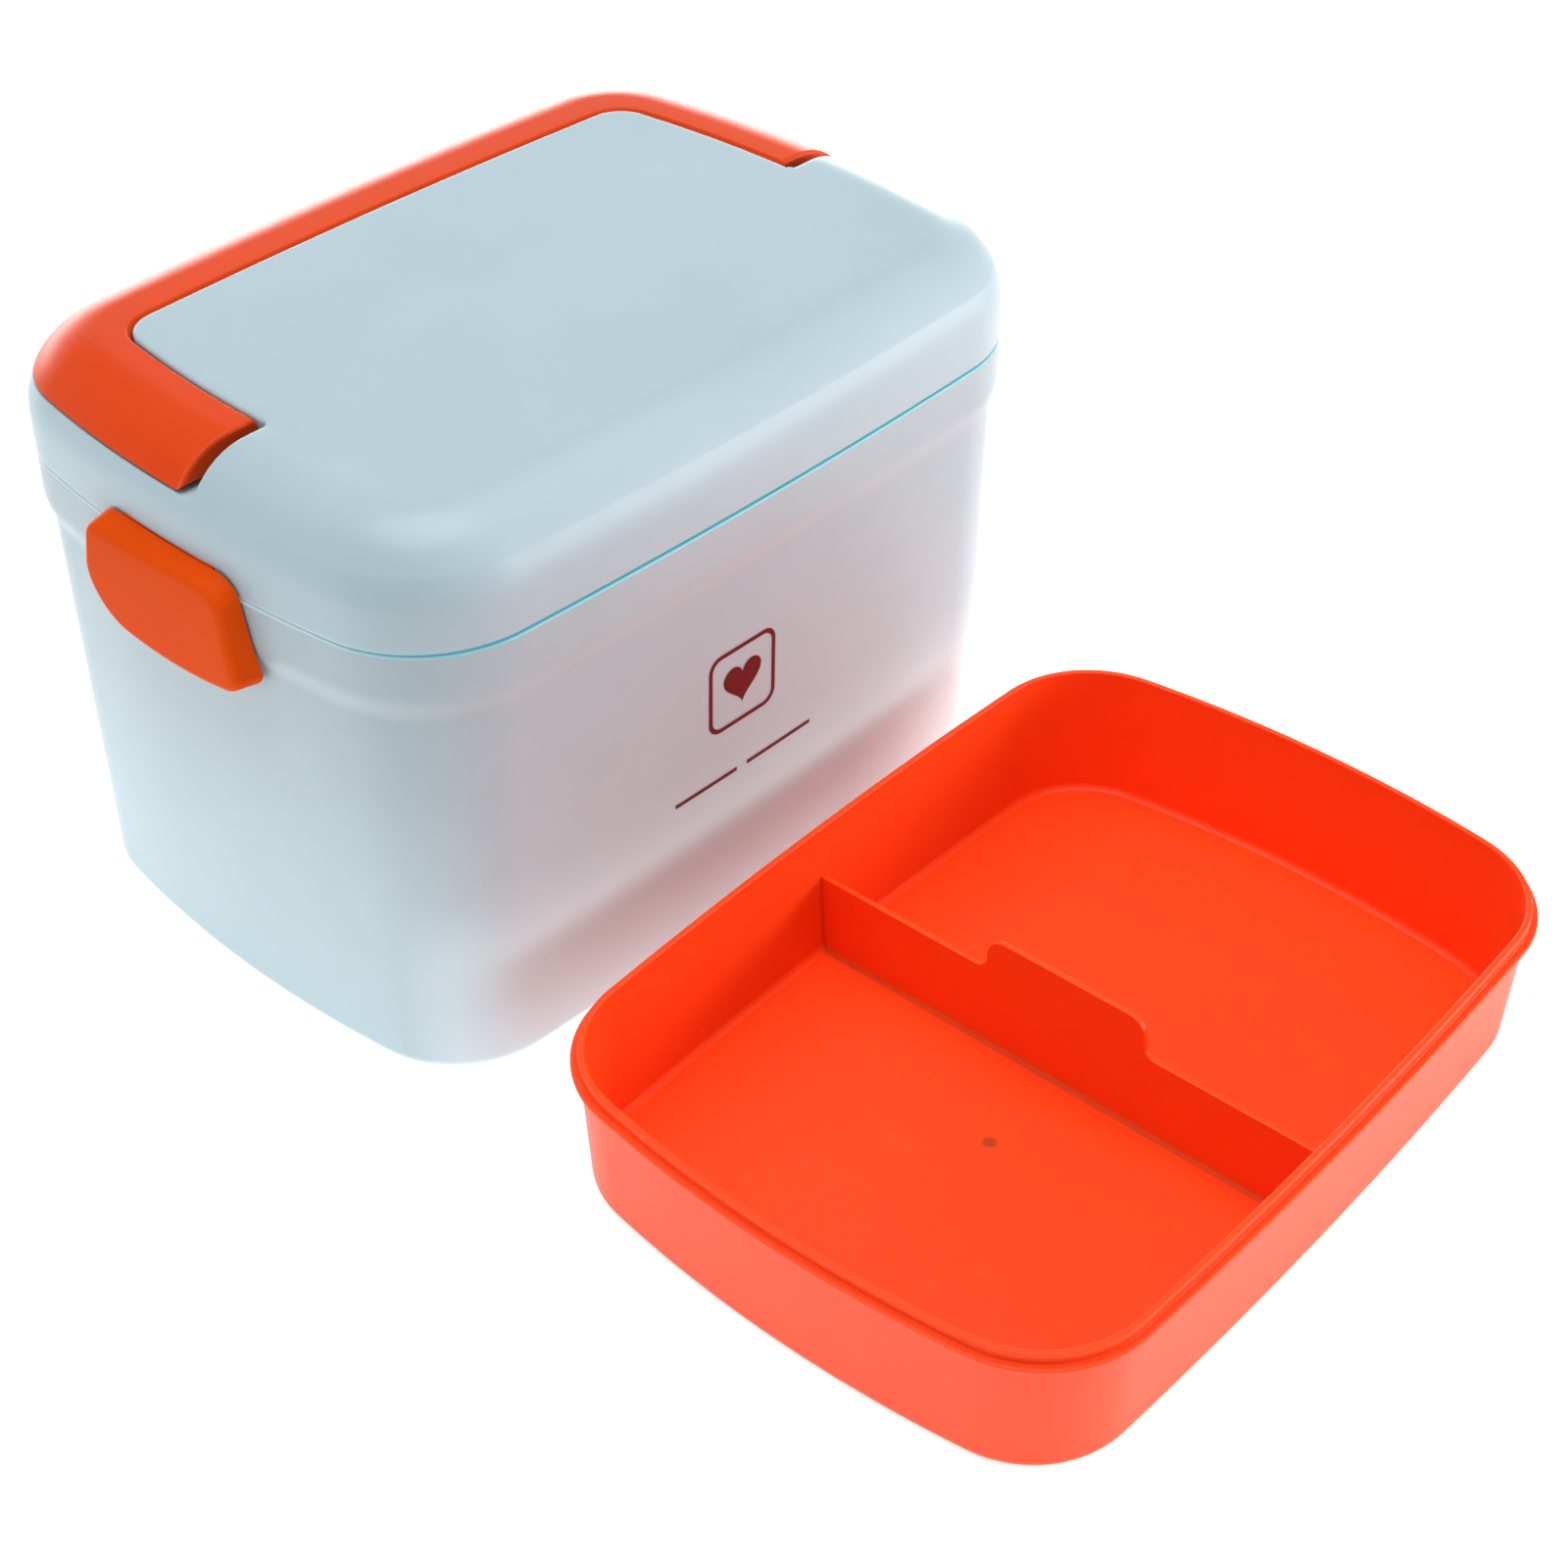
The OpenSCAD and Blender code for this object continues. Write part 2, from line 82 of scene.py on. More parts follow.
LATCH_REAR_LOW, LATCH_REAR_TOP = 0.8, 2.2  # how much further the rear corners reach
HINGE_X, BEAD_R, BEAD_HALF = -124.0, 0.95, 18.0
WEB_X, WEB_DROP, WEB_SHORT = (-125.75, -124.2), (0.42, 0.12), 0.4
CATCH_X, CATCH_H, CATCH_HALF = (-130.6, -126.5), (121.0, 123.7), 13.0

MARK_X, MARK_H, FRAME_HALF, FRAME_IN, HEART = -8.0, 84.5, 13.0, 11.6, 0.46
THIN_BARS, THIN_BAR_H = ((-34.0, -10.0), (-6.0, 20.0)), (54.6, 55.2, 55.9)


# Outlines of bows and corners
def meet(o):
    """Centre of the corner arc that runs smoothly into both bows."""
    a, b, r, re, rf = o
    y1, d1 = b - rf, rf - r
    x2, d2 = a - re, re - r
    d = math.hypot(x2, y1)
    k = (d1 * d1 - d2 * d2 + d * d) / (2 * d)
    h = math.sqrt(max(d1 * d1 - k * k, 0.0))
    px, py = x2 * k / d, y1 - k * y1 / d
    p = (px + h * y1 / d, py + h * x2 / d)
    q = (px - h * y1 / d, py - h * x2 / d)
    return p if sum(p) > sum(q) else q


# for each outline: centre of the corner arc, half angle of the end bow and of the long bow
ARC = {}
for o in (SEAM, PANEL):
    c = meet(o)
    ARC[o] = (c, math.atan2(c[1], c[0] - o[0] + o[3]), math.atan2(c[0], c[1] - o[1] + o[4]))

FRONT_Y, REAR_Y = -31.0, 28.0  # between these the end stations run straight across


# A station takes an outline and a step in from it, and gives (x, y)
def end_station(side, kind, f):
    """A station on a short end: kind abs is a fixed y, lo and hi run to the corner's start."""

    def at(o, d):
        c, te, tf = ARC[o]
        r = o[3] - d
        yj = r * math.sin(te)
        if kind == "abs":
            y = f
        elif kind == "lo":
            y = -yj + f * (FRONT_Y + yj)
        else:
            y = REAR_Y + f * (yj - REAR_Y)
        return (side * (o[0] - o[3] + math.sqrt(r * r - y * y)), y)

    return at


def corner_station(sx, sy, f):
    """A station round a corner: f runs from the end bow at 0 to the long bow at 1."""

    def at(o, d):
        c, te, tf = ARC[o]
        a = te + f * (math.pi / 2 - te - tf)
        r = o[2] - d
        return (sx * (c[0] + r * math.cos(a)), sy * (c[1] + r * math.sin(a)))

    return at


def face_station(sy, f):
    """A station on a long side: f runs from -1 at the left to 1 at the right."""

    def at(o, d):
        c, te, tf = ARC[o]
        a = f * tf
        r = o[4] - d
        return (r * math.sin(a), sy * (o[1] - o[4] + r * math.cos(a)))

    return at


def steps(n):
    return [i / n for i in range(n)]


END_STEPS, CORNER_STEPS, FACE_STEPS = steps(5), steps(20), steps(26)


def left_end(ys):
    """Stations up the left end, front to rear, with the given fixed y values in the middle."""
    out = [end_station(-1, "lo", f) for f in END_STEPS]
    out += [end_station(-1, "abs", y) for y in ys]
    out += [end_station(-1, "hi", f) for f in END_STEPS]
    return out


def right_end(ys):
    """The same down the right end, rear to front."""
    out = [end_station(1, "hi", 1 - f) for f in END_STEPS]
    out += [end_station(1, "abs", y) for y in reversed(ys)]
    out += [end_station(1, "lo", 1 - f) for f in END_STEPS]
    return out


REAR_HALF = (
    [corner_station(-1, 1, f) for f in CORNER_STEPS]
    + [face_station(1, -1 + 2 * f) for f in FACE_STEPS]
    + [corner_station(1, 1, 1 - f) for f in CORNER_STEPS]
)
FRONT_HALF = (
    [corner_station(1, -1, f) for f in CORNER_STEPS]
    + [face_station(-1, 1 - 2 * f) for f in FACE_STEPS]
    + [corner_station(-1, -1, 1 - f) for f in CORNER_STEPS]
)
PLAIN_YS = [FRONT_Y, -20.0, -9.0, 0.0, 9.0, 18.0, REAR_Y]
AROUND = left_end(PLAIN_YS) + REAR_HALF + right_end(PLAIN_YS) + FRONT_HALF


# Profiles and meshes
def rounded(points, n=4):
    """Open line of corners (x, y, radius) with each corner turned into an arc of n steps."""
    out = []
    for i, (x, y, r) in enumerate(points):
        if r <= 0 or i in (0, len(points) - 1):
            out.append((x, y))
            continue
        p = Vector((x, y))
        a = (Vector(points[i - 1][:2]) - p).normalized()
        b = (Vector(points[i + 1][:2]) - p).normalized()
        half = a.angle(b) / 2
        t = r / math.tan(half)
        mid = p + (a + b).normalized() * (r / math.sin(half))
        s, e = p + a * t - mid, p + b * t - mid
        turn = s.angle_signed(e)
        for k in range(n + 1):
            q = mid + Matrix.Rotation(-turn * k / n, 2) @ s
            out.append((q.x, q.y))
    return out


def make(rows, wrap_rows=False, wrap_cols=False, caps=(False, False)):
    """A grid of points (mm) as a mesh; caps close the first and last column or row."""
    n, m = len(rows), len(rows[0])
    verts = [p for row in rows for p in row]
    faces = []
    for i in range(n if wrap_rows else n - 1):
        for j in range(m if wrap_cols else m - 1):
            a, b = i * m + j, i * m + (j + 1) % m
            c, d = ((i + 1) % n) * m + (j + 1) % m, ((i + 1) % n) * m + j
            faces.append((a, b, c, d))
    if wrap_rows:
        ends = ([i * m for i in range(n)], [i * m + m - 1 for i in range(n)])
    else:
        ends = (list(range(m)), [(n - 1) * m + j for j in range(m)])
    faces += [end for end, closed in zip(ends, caps) if closed]
    return (verts, faces)


def joined(parts):
    verts, faces = [], []
    for v, f in parts:
        base = len(verts)
        verts += v
        faces += [[i + base for i in g] for g in f]
    return (verts, faces)


def mirrored(part):
    v, f = part
    return ([(-x, y, z) for x, y, z in v], [list(reversed(g)) for g in f])


SHARP_DEG, WELD_M = 32.0, 2e-6


def mesh_object(name, part):
    """Object in metres from a part in mm: welded, smooth, with its sharp edges kept."""
    me = bpy.data.meshes.new(name)
    me.from_pydata([(x * 0.001, y * 0.001, z * 0.001) for x, y, z in part[0]], [], part[1])
    bm = bmesh.new()
    bm.from_mesh(me)
    bmesh.ops.remove_doubles(bm, verts=bm.verts, dist=WELD_M)
    bmesh.ops.recalc_face_normals(bm, faces=bm.faces)
    bm.to_mesh(me)
    bm.free()
    ob = bpy.data.objects.new(name, me)
    bpy.context.scene.collection.objects.link(ob)
    me.shade_smooth()
    me.set_sharp_from_angle(angle=math.radians(SHARP_DEG))
    w = ob.modifiers.new("weighted", "WEIGHTED_NORMAL")
    w.keep_sharp = True
    w.weight = 60
    return ob


def swept(profile):
    """Profile points (inset, z) carried round the seam's outline."""
    rows = [[(*s(SEAM, d), z) for d, z in profile] for s in AROUND]
    return make(rows, wrap_rows=True, caps=(True, True))


def box_part(lo, hi, r):
    """A small block with its edges rounded off."""
    bm = bmesh.new()
    bmesh.ops.create_cube(bm, size=1.0)
    size = [hi[i] - lo[i] for i in range(3)]
    mid = [(hi[i] + lo[i]) / 2 for i in range(3)]
    for v in bm.verts:
        v.co = Vector([v.co[i] * size[i] + mid[i] for i in range(3)])
    bmesh.ops.bevel(bm, geom=bm.edges[:], offset=r, segments=3, profile=0.5, affect="EDGES")
    bm.verts.index_update()
    part = ([tuple(v.co) for v in bm.verts], [[v.index for v in f.verts] for f in bm.faces])
    bm.free()
    return part


def rod_part(x, z, r, y0, y1, n=40, end_r=0.3):
    """A round bar along y with rounded end edges."""
    end = [(0.0, 0.02), (0.0, r - end_r), (end_r * 0.3, r - end_r * 0.3), (end_r, r)]
    rings = [(y0 + a, rad) for a, rad in end] + [(y1 - a, rad) for a, rad in reversed(end)]
    turns = [2 * math.pi * k / n for k in range(n)]
    rows = [[(x + rad * math.cos(a), y, z + rad * math.sin(a)) for a in turns] for y, rad in rings]
    return make(rows, wrap_cols=True, caps=(True, True))


# Materials
def noise(nt, scale, detail):
    """Noise over the object's own space; gives its value."""
    where = nt.nodes.new("ShaderNodeTexCoord")
    n = nt.nodes.new("ShaderNodeTexNoise")
    n.inputs["Scale"].default_value = scale
    n.inputs["Detail"].default_value = detail
    nt.links.new(where.outputs["Object"], n.inputs["Vector"])
    return n.outputs["Fac"]


def place(nt):
    """The x, y and z of a point in the object's own space, in metres."""
    where = nt.nodes.new("ShaderNodeTexCoord")
    split = nt.nodes.new("ShaderNodeSeparateXYZ")
    nt.links.new(where.outputs["Object"], split.inputs["Vector"])
    return split.outputs


def map_range(nt, value, span, to=(0.0, 1.0), smooth=True):
    n = nt.nodes.new("ShaderNodeMapRange")
    if smooth:
        n.interpolation_type = "SMOOTHSTEP"
    for key, number in zip(("From Min", "From Max", "To Min", "To Max"), (*span, *to)):
        n.inputs[key].default_value = number
    nt.links.new(value, n.inputs["Value"])
    return n.outputs["Result"]


def colour_ramp(nt, value, low, high, stops=(0.0, 1.0)):
    n = nt.nodes.new("ShaderNodeValToRGB")
    for element, colour, stop in zip(n.color_ramp.elements, (low, high), stops):
        element.position = stop
        element.color = (*colour, 1)
    nt.links.new(value, n.inputs["Fac"])
    return n.outputs["Color"]


def new_material(name):
    m = bpy.data.materials.new(name)
    m.use_nodes = True
    return m, m.node_tree, m.node_tree.nodes["Principled BSDF"]


MOTTLED, BUMP_M = 0.03, 0.0004
CLOUDS, GLOSS_SPOTS, GRAIN = (14.0, 4.0), (120.0, 3.0), (900.0, 2.0)  # noise scale and detail


def plastic(name, colour, rough, bump, specular=0.5, tint=None, uneven=0.02, sss=0.0,
            sss_radius=(1.0, 1.0, 1.0), sss_scale=0.004):
    """Moulded plastic: faint cloudy colour, uneven gloss and a fine grain in the surface."""
    m, nt, b = new_material(name)
    low = [max(c * (1 - MOTTLED), 0) for c in colour]
    high = [min(c * (1 + MOTTLED), 1) for c in (tint or colour)]
    cloud = colour_ramp(nt, noise(nt, *CLOUDS), low, high, (0.3, 0.7))
    nt.links.new(cloud, b.inputs["Base Color"])
    gloss = map_range(nt, noise(nt, *GLOSS_SPOTS), (0.0, 1.0), (rough - uneven, rough + uneven),
                      smooth=False)
    nt.links.new(gloss, b.inputs["Roughness"])
    bp = nt.nodes.new("ShaderNodeBump")
    bp.inputs["Strength"].default_value = bump
    bp.inputs["Distance"].default_value = BUMP_M
    nt.links.new(noise(nt, *GRAIN), bp.inputs["Height"])
    nt.links.new(bp.outputs["Normal"], b.inputs["Normal"])
    b.inputs["Specular IOR Level"].default_value = specular
    if sss > 0:
        b.inputs["Subsurface Weight"].default_value = sss
        b.inputs["Subsurface Radius"].default_value = sss_radius
        b.inputs["Subsurface Scale"].default_value = sss_scale
    return m


COLD_SSS, WARM_SSS = (0.8, 1.0, 1.1), (1.0, 0.3, 0.1)
# seam colours: painted light on the tub's rim, painted shade on the lid's lower edge
SEAM_LIT_CYAN, SHADE_CYAN = (0.2, 0.6, 0.68), (0.06, 0.38, 0.48)
TUB_MAT = plastic("frosted_blue", (0.43, 0.55, 0.595), rough=0.42, bump=0.03, specular=0.4,
                  tint=(0.44, 0.555, 0.6), sss=0.35, sss_radius=COLD_SSS)
LID_MAT = plastic("satin_blue", (0.42, 0.55, 0.605), rough=0.4, bump=0.02, specular=0.4, sss=0.2,
                  sss_radius=COLD_SSS)
SEAM_LIT_MAT = plastic("seam_painted_light", SEAM_LIT_CYAN, rough=0.4, bump=0.01)
SHADE_MAT = plastic("seam_shade", SHADE_CYAN, rough=0.4, bump=0.01)
ORANGE_MAT = plastic("satin_orange", (0.72, 0.06, 0.006), rough=0.4, bump=0.015, specular=0.14,
                     uneven=0.012)
LATCH_MAT = plastic("latch_orange", (0.75, 0.074, 0.004), rough=0.4, bump=0.015, specular=0.02,
                    uneven=0.012)
TRAY_MAT = plastic("tray_orange", (0.96, 0.073, 0.007), rough=0.4, bump=0.015, specular=0.28,
                   sss=0.5, sss_radius=WARM_SSS, sss_scale=0.003)
PRINT_MAT = plastic("maroon_print", (0.09, 0.006, 0.01), rough=0.3, bump=0.01)

# spans in metres over which the painted light on the tub and the painted seam tones change
TUB_RISE, FRONT_WALL_Y, FRONT_FOOT_Z = (0.0, 0.13), (-0.078, -0.062), (0.028, 0.067)
SEAM_FRONT_Y = (-0.09, -0.05)
# strength of the seam's faint painted glow
SEAM_PAINTED_GLOW = 0.1


def paint_foot_light(m, gain, front_gain):
    """Painted light on the frosted wall, lighter towards its foot: gain scales the colour over the
    height, and front_gain adds painted light low on the front wall, beside the tray, over the tray's
    shade."""
    nt = m.node_tree
    colour = nt.nodes["Principled BSDF"].inputs["Base Color"]
    source = colour.links[0].from_socket
    xyz = place(nt)
    front = map_range(nt, xyz["Y"], FRONT_WALL_Y, (front_gain, 0.0))
    foot = map_range(nt, xyz["Z"], FRONT_FOOT_Z, (1.0, 0.0))
    whole = map_range(nt, xyz["Z"], TUB_RISE, gain)
    total = nt.nodes.new("ShaderNodeMath")
    total.operation = "MULTIPLY_ADD"
    for value, socket in zip((front, foot, whole), total.inputs):
        nt.links.new(value, socket)
    scale = nt.nodes.new("ShaderNodeVectorMath")
    scale.operation = "SCALE"
    nt.links.new(source, scale.inputs[0])
    nt.links.new(total.outputs["Value"], scale.inputs["Scale"])
    nt.links.new(scale.outputs["Vector"], colour)


def paint_seam_light_and_shade(m, front, ends):
    """Painted light and shade on the seam: clear cyan where light runs along the front edge, paler
    round the ends and the rear, with a faint painted glow.
    """
    nt = m.node_tree
    b = nt.nodes["Principled BSDF"]
    back = map_range(nt, place(nt)["Y"], SEAM_FRONT_Y, smooth=False)
    colour = colour_ramp(nt, back, front, ends)
    nt.links.new(colour, b.inputs["Base Color"])
    nt.links.new(colour, b.inputs["Emission Color"])
    b.inputs["Emission Strength"].default_value = SEAM_PAINTED_GLOW


# painted light: the tub lighter towards its foot and low on the front wall beside the tray
paint_foot_light(TUB_MAT, (1.14, 0.92), 0.24)
# painted light and shade along the seam, lighter at the ends and the rear
paint_seam_light_and_shade(SEAM_LIT_MAT, SEAM_LIT_CYAN, (0.6, 0.72, 0.76))
paint_seam_light_and_shade(SHADE_MAT, SHADE_CYAN, (0.5, 0.64, 0.69))


# Tub
def tub_in(z):
    """Step in of the tub's outside below the slope."""
    return COLLAR_STEP + TUB_DRAFT * (SLOPE_LOW_H - z)


def tub_profile():
    return rounded([
        (FLAT_IN, 0.0, 0), (tub_in(0), 0.0, 4.0), (tub_in(SLOPE_LOW_H), SLOPE_LOW_H, 14.0),
        (0.0, COLLAR_LOW_H, 14.0), (0.0, RIM_H, 0.9), (TUB_WALL, RIM_H, 0.35),
        (TUB_WALL, COLLAR_LOW_H - 1.5, 1.2), (COLLAR_STEP + TUB_WALL, SLOPE_LOW_H - 1.5, 1.2),
        (tub_in(TUB_FLOOR) + TUB_WALL, TUB_FLOOR, 2.0), (FLAT_IN, TUB_FLOOR, 0)], n=6)


def tub_piece():
    bar = box_part((BAR_X[0], LATCH_Y - BAR_HALF, BAR_H[0]),
                   (BAR_X[1], LATCH_Y + BAR_HALF, BAR_H[1]), 0.4)
    return mesh_object("tub_body", joined([swept(tub_profile()), bar, mirrored(bar)]))


# Tray
def tray_in(z):
    """Step in of the tray's outside."""
    return TRAY_RIM_IN + TRAY_DRAFT * (TRAY_H - z)


def tray_profile():
    top = TRAY_H - FLANGE_DROP
    low = top - FLANGE_T
    return rounded([
        (FLAT_IN, 0.0, 0), (tray_in(0), 0.0, 4.0), (tray_in(low), low, 0.35),
        (TRAY_FLANGE_IN, low, 0.5), (TRAY_FLANGE_IN, top, 0.5), (tray_in(top), top, 0.35),
        (TRAY_RIM_IN, TRAY_H, 0.5), (TRAY_RIM_IN + TRAY_WALL, TRAY_H, 0.5),
        (tray_in(TRAY_FLOOR) + TRAY_WALL, TRAY_FLOOR, 2.2), (FLAT_IN, TRAY_FLOOR, 0)], n=5)


def divider_part():
    """Wall across the tray with a raised, round-shouldered middle and a soft top edge."""
    half, low_h, tab, tab_h = DIVIDER_HALF, DIVIDER_H, TAB_HALF, TAB_H
    top = rounded([(-half, low_h, 0), (-tab - 0.4, low_h, 3.6), (-tab + 0.4, tab_h, 5.6),
                   (tab - 0.4, tab_h, 5.6), (tab + 0.4, low_h, 3.6), (half, low_h, 0)], n=8)
    # even stations along the wall keep the ends following the tray's lean
    line = [top[0]]
    for a, b in zip(top, top[1:]):
        n = max(1, int(math.hypot(b[0] - a[0], b[1] - a[1]) / 6))
        line += [(a[0] + (b[0] - a[0]) * k / n, a[1] + (b[1] - a[1]) * k / n)
                 for k in range(1, n + 1)]
    t, e = DIVIDER_T, DIVIDER_SOFT
    reach = HALF_Y - tray_in(3.0) - 0.9
    rows = []
    for y, z in line:
        y0 = max(-reach, min(reach, y))
        face = [(-t - 1.2, y0, 1.6), (-t - 1.2, y0, 2.0), (-t - 0.5, y0, 2.18),
                (-t - 0.15, y0, 2.6), (-t, y0, 3.4), (-t, y, z - e), (-t + e * 0.3, y, z - e * 0.3),
                (-t + e, y, z)]
        rows.append(face + [(-x, at_y, at_z) for x, at_y, at_z in reversed(face)])
    return make(rows, wrap_cols=True, caps=(True, True))


def gate_part():
    """Small round mark left by the mould in the tray floor."""
    turns = [2 * math.pi * k / 32 for k in range(32)]
    rows = [[(GATE_X + r * math.cos(a), r * math.sin(a), z) for a in turns]
            for r, z in ((2.0, 1.95), (1.85, 2.04), (1.6, 2.06), (1.3, 2.03), (0.02, 2.02))]
    return make(rows, wrap_cols=True, caps=(True, True))


def tray_piece():
    v, f = joined([swept(tray_profile()), divider_part(), gate_part()])
    c, s = math.cos(math.radians(TRAY_TURN)), math.sin(math.radians(TRAY_TURN))
    v = [(x * c - y * s + TRAY_POS[0], x * s + y * c + TRAY_POS[1], z) for x, y, z in v]
    return mesh_object("insert_tray", (v, f))


# Lid
def dome_z(inset, d):
    """Height of the lid form, set in by d, at a step in from the seam outline."""
    r = SHOULDER_R - d
    if inset >= SHOULDER_R:
        return TOP_H - d
    return SHOULDER_H + math.sqrt(max(r * r - (SHOULDER_R - inset) ** 2, 0.0))


def dome_inset(z, d=0.0):
    """Step in of the shoulder, set in by d, at a height."""
    r = SHOULDER_R - d
    return SHOULDER_R - math.sqrt(max(r * r - (z - SHOULDER_H) ** 2, 0.0))


def lid_outer():
    """Outer section points from the middle of the top down to the skirt. Each is a pair: its place
    where the channel is, as (share of panel line, seam step, panel step, z), and its step in on the
    plain form, or ("z", height) low on the shoulder."""
    out = [((0, FLAT_IN, 0, TOP_H), FLAT_IN), ((1, 0, 2.2, TOP_H), 30.6)]
    # panel edge, wall and foot
    for k in range(5):
        a = math.pi / 2 * k / 4
        out.append(((1, 0, EDGE_R * (1 - math.sin(a)), TOP_H - EDGE_R * (1 - math.cos(a))),
                    28.0 - 0.25 * k))
    out += [((1, 0, 0, z), s)
            for z, s in ((171.0, 26.6), (168.0, 26.1), (165.0, 25.6), (163.3, 25.1))]
    for k in range(1, 4):
        a = math.pi / 2 * k / 3
        out.append(((1, 0, -FOOT_R * (1 - math.cos(a)), CHANNEL_H + FOOT_R * (1 - math.sin(a))),
                    25.1 - 0.2 * k))
    # channel floor, from the panel out to the shoulder
    lip = dome_inset(CHANNEL_H)
    for k in range(1, 8):
        f = 1 - k / 8
        out.append(((f, lip + 0.5, -FOOT_R, CHANNEL_H), 24.4 * f + (lip + 0.5) * (1 - f)))
    corner = rounded([(lip + 2, CHANNEL_H, 0), (lip, CHANNEL_H, 0.5),
                      (dome_inset(CHANNEL_H - 2), CHANNEL_H - 2, 0)], n=3)[1:5]
    for (d, z), s in zip(corner, (lip + 0.5, lip + 0.3, lip + 0.12, ("z", corner[3][1]))):
        out.append(((0, d, 0, z), s))
    for k in range(1, 7):
        z = CHANNEL_H - 1.2 - (CHANNEL_H - 1.2 - SHOULDER_H) * k / 6
        out.append(((0, dome_inset(z), 0, z), ("z", z)))
    return out


OUTER = lid_outer()
RIM = rounded([(0.0, SKIRT_LOW_H, 0), (0.0, LID_LOW_H, 0.8), (LIP_IN, LID_LOW_H, 0.2),
               (LIP_IN, LIP_LOW_H, 0.3), (LIP_BACK_IN, LIP_LOW_H, 0.3), (LIP_BACK_IN, 144.6, 0)])[1:]
GROOVE_OPEN = math.asin(GROOVE_IN / GROOVE_R)


def skirt_points(g):
    """Outside of the skirt, plain for g 0 and with the hinge groove for g 1."""
    out = [(0.0, 151.0), (0.0, 149.6)]
    n = 12
    half = math.sqrt(GROOVE_R ** 2 - GROOVE_IN ** 2)
    for k in range(n + 1):
        f = k / n
        # from the upper lip of the groove round its back to the lower lip
        a = math.pi - (GROOVE_OPEN + math.pi / 2) + (2 * GROOVE_OPEN + math.pi) * f - math.pi / 2
        d, z = GROOVE_IN + GROOVE_R * math.sin(a), GROOVE_H + GROOVE_R * math.cos(a)
        flat_z = GROOVE_H + half - 2 * half * f
        out.append((d * g, flat_z + (z - flat_z) * g))
    out.append((0.0, SKIRT_LOW_H))
    return out


def inner_points(pad, under):
    """Inside of the lid from the lip up to the middle: pad thickens it at the hinge, under is 0
    beneath the plain form and 1 beneath the channel. A point is (share of panel line, seam step,
    panel step, z), or two of them with the share from the first to the second."""
    wall = LID_WALL + (HINGE_PAD * pad)
    out = [(0, LIP_BACK_IN + 0.8 * pad, 0, 145.15), (0, wall, 0, PAD_LOW_H),
           (0, wall, 0, PAD_TOP_H), (0, LID_WALL, 0, 152.3)]
    low = CHANNEL_H - LID_WALL
    edge = dome_inset(low, LID_WALL)
    for k in range(1, 4):
        z = SHOULDER_H + (low - SHOULDER_H) * k / 3
        out.append((0, dome_inset(z, LID_WALL), 0, z))
    # ceiling beneath the channel's floor, then its turn up to the panel
    n = 8
    for k in range(1, n + 1):
        f = k / n
        s = edge + (CEILING_IN - edge) * f
        plain = (0, s, 0, dome_z(max(s, 2.5), LID_WALL))
        out.append((plain, (f, edge, 2.2, low), under))
    for k in range(1, 5):
        z = low + (TOP_H - LID_WALL - low) * k / 4
        out.append(((0, CEILING_IN + 1.2 * k, 0, TOP_H - LID_WALL), (1, 0, 2.2, z), under))
    out.append((0, FLAT_IN, 0, TOP_H - LID_WALL))
    return out


def spot(station, p):
    """Place of a section point (share of panel line, seam step, panel step, z)."""
    f, s, e, z = p
    if f == 0:
        x, y = station(SEAM, s)
    elif f == 1:
        x, y = station(PANEL, e)
    else:
        x0, y0 = station(SEAM, s)
        x1, y1 = station(PANEL, e)
        x, y = x0 + (x1 - x0) * f, y0 + (y1 - y0) * f
    return (x, y, z)


def plain_spot(station, s, d):
    """Place on the plain lid form, set in by d, at seam step s or height ("z", z)."""
    if isinstance(s, tuple):
        z = s[1]
        fade = max(0.0, min(1.0, (z - SHOULDER_H) / SHOULDER_FADE))
        return spot(station, (0, dome_inset(z, d * fade), 0, z))
    if s >= SHOULDER_R:
        return spot(station, (0, s, 0, TOP_H - d))
    # slide along the set-in shoulder at the same angle
    r = SHOULDER_R - d
    a = math.acos(min(1.0, (SHOULDER_R - s) / SHOULDER_R))
    return spot(station, (0, SHOULDER_R - r * math.cos(a), 0, SHOULDER_H + r * math.sin(a)))


def notch_off(x):
    """How far the notch's rounded corner pulls the channel's end wall back at x."""
    t = abs(x) - (PANEL[0] - 0.1)
    if t >= NOTCH_R:
        return 0.0
    t = max(t, 0.0)
    return NOTCH_R - math.sqrt(max(NOTCH_R ** 2 - (NOTCH_R - t) ** 2, 0.0))


def lerp3(a, b, f):
    return tuple(p + (q - p) * f for p, q in zip(a, b))


def lid_row(at, y, mode, v, g, pad, y_in, under):
    """One section of the lid, where at gives the station for a y. mode: plain, edge (v is the
    fillet's angle), wall (v is the share of the way down) or channel. g is 1 at the hinge groove;
    pad, y_in and under are for the inside."""
    row = []
    for chan, plain in OUTER:
        if mode == "channel":
            off = notch_off(spot(at(y), chan)[0]) * max(0.0, 1 - (y - CHANNEL_Y) / NOTCH_FADE)
            row.append(spot(at(y + off), chan))
            continue
        flat = plain_spot(at(y), plain, 0.0)
        off = notch_off(flat[0])
        step = max(0.0, min(1.0, (flat[2] - chan[3]) / EDGE_FADE)) * EDGE_R
        if mode == "plain":
            row.append(flat)
        elif mode == "edge":
            row.append(plain_spot(at(y + off), plain, step * (1 - math.cos(v))))
        else:
            wall = at(CHANNEL_Y + off)
            x, _, z = lerp3(plain_spot(wall, plain, step), spot(wall, chan), v)
            row.append((x, CHANNEL_Y + notch_off(x), z))
    row += [spot(at(y), (0, d, 0, z)) for d, z in skirt_points(g) + RIM]
    for q in inner_points(pad, under):
        if isinstance(q[0], tuple):
            row.append(lerp3(spot(at(y_in), q[0]), spot(at(y_in), q[1]), q[2]))
        else:
            row.append(spot(at(y_in), q))
    return row


